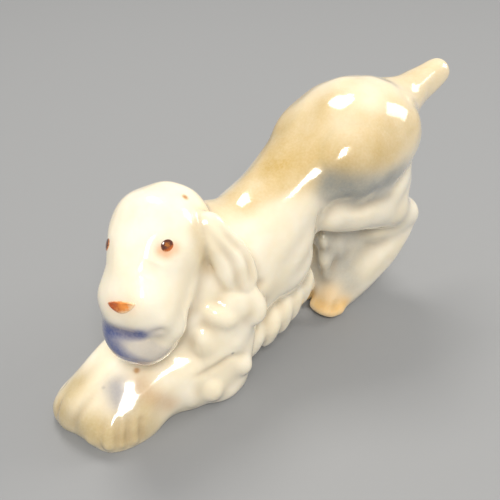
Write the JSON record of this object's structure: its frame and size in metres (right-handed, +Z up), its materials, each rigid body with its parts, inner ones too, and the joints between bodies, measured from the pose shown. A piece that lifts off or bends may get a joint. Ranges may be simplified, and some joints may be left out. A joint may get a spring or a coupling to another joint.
{
  "type": "miniature dog figurine",
  "caption": "Miniature glazed porcelain spaniel in a play bow, rump and short tail raised, forelegs on the ground, head turned with a ball in its mouth; a free-standing ornament.",
  "frame": {"origin": "on the floor plane, at the middle of the figure's bounding box", "axes": "+Z up, the dog faces -Y and its left side is +X"},
  "size_m": [0.0223, 0.0811, 0.043],
  "materials": {
    "ivory_glaze": "glossy clear glaze over ivory porcelain",
    "tan_glaze": "glossy clear glaze over tan airbrush on ivory porcelain",
    "blue_glaze": "glossy glaze over cobalt airbrush",
    "rust_enamel": "glossy brush-painted enamel",
    "orange_enamel": "glossy brush-painted enamel"
  },
  "bodies": {
    "root": {"body": "tan_glaze", "head": "ivory_glaze", "left_ear": "ivory_glaze", "right_ear": "ivory_glaze", "left_eye": "rust_enamel", "right_eye": "rust_enamel", "nose": "orange_enamel", "ball": "blue_glaze", "left_foreleg": "ivory_glaze", "right_foreleg": "ivory_glaze", "left_ruff": "ivory_glaze", "right_ruff": "ivory_glaze", "belly_fringe": "ivory_glaze", "left_thigh": "ivory_glaze", "right_thigh": "ivory_glaze", "left_shank": "ivory_glaze", "right_shank": "ivory_glaze", "tail": "tan_glaze"}
  },
  "joints": []
}
